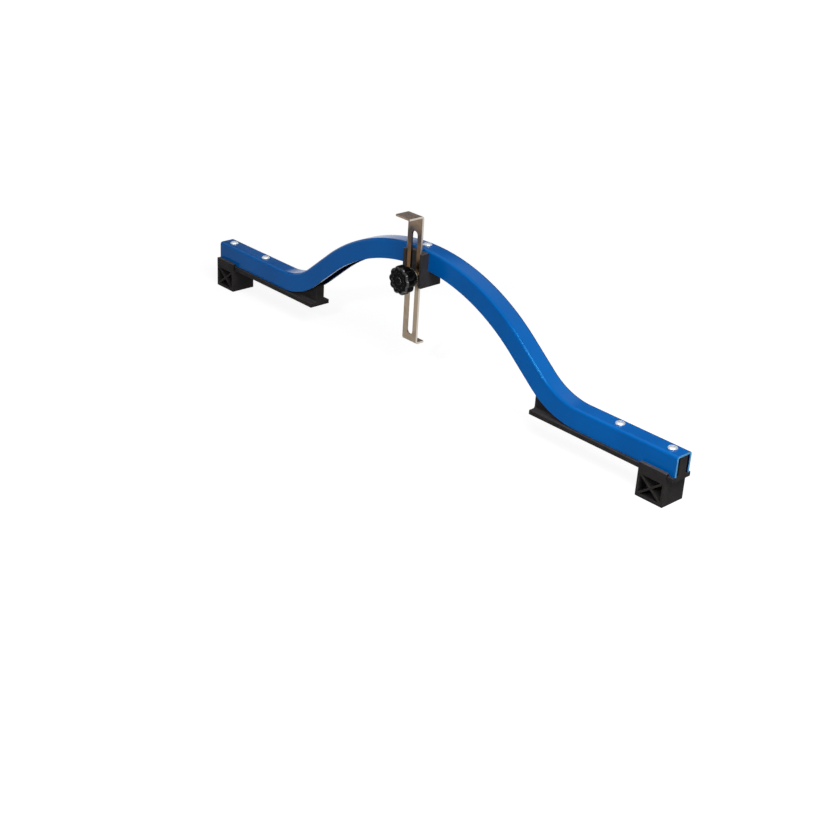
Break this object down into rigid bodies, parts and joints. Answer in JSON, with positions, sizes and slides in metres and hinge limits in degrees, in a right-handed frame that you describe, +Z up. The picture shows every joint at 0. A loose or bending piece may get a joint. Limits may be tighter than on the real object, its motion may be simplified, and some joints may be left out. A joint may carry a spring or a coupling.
{
  "type": "wheel dishing gauge",
  "caption": "Bow-shaped gauge of painted steel channel on two sliding plastic blocks, with a slotted steel indicator strip clamped upright in the middle by a lobed thumb knob.",
  "frame": {"origin": "under the middle of the whole gauge, on the plane that the two blocks stand on", "axes": "+X along the beam towards the right block, +Y towards the back, away from the knob, +Z up"},
  "size_m": [0.637, 0.0496, 0.1705],
  "materials": {
    "paint": "glossy blue powder coat on steel sheet",
    "black_plastic": "satin moulded nylon",
    "stainless": "half-polished stainless strip",
    "rivet_metal": "bright, unpainted",
    "zinc_steel": "bright zinc plate",
    "brass": "turned"
  },
  "bodies": {
    "beam_assembly": {"beam_channel": "paint", "left_rail": "black_plastic", "right_rail": "black_plastic", "crest_rivet": "rivet_metal", "crest_rivet_mandrel": "zinc_steel", "left_outer_rivet": "rivet_metal", "left_outer_rivet_mandrel": "zinc_steel", "left_inner_rivet": "rivet_metal", "left_inner_rivet_mandrel": "zinc_steel", "right_inner_rivet": "rivet_metal", "right_inner_rivet_mandrel": "zinc_steel", "right_outer_rivet": "rivet_metal", "right_outer_rivet_mandrel": "zinc_steel", "guide_bracket": "black_plastic", "clamp_bolt": "zinc_steel"},
    "left_block": {"left_block": "black_plastic"},
    "right_block": {"right_block": "black_plastic"},
    "indicator": {"indicator_strip": "stainless"},
    "washer": {"clamp_washer": "zinc_steel"},
    "knob": {"thumb_knob": "black_plastic", "knob_insert": "brass"}
  },
  "joints": [
    {"name": "left_block_slide", "type": "slide", "parent": "beam_assembly", "child": "left_block", "axis": [1, 0, 0], "range_m": [0, 0.133]},
    {"name": "right_block_slide", "type": "slide", "parent": "beam_assembly", "child": "right_block", "axis": [-1, 0, 0], "range_m": [-0.0055, 0.128]},
    {"name": "indicator_slide", "type": "slide", "parent": "beam_assembly", "child": "indicator", "axis": [0, 0, 1], "range_m": [-0.042, 0.054]},
    {"name": "washer_slide", "type": "slide", "parent": "beam_assembly", "child": "washer", "axis": [0, -1, 0], "range_m": [0, 0.001]},
    {"name": "knob_turn", "type": "hinge", "parent": "washer", "child": "knob", "pos_m": [0, -0.018, 0.10824], "axis": [0, -1, 0], "range_deg": [0, 360]}
  ],
  "couplings": [
    {"joint": "washer_slide", "follows": "knob_turn", "m_per_rad": 0.000159}
  ]
}
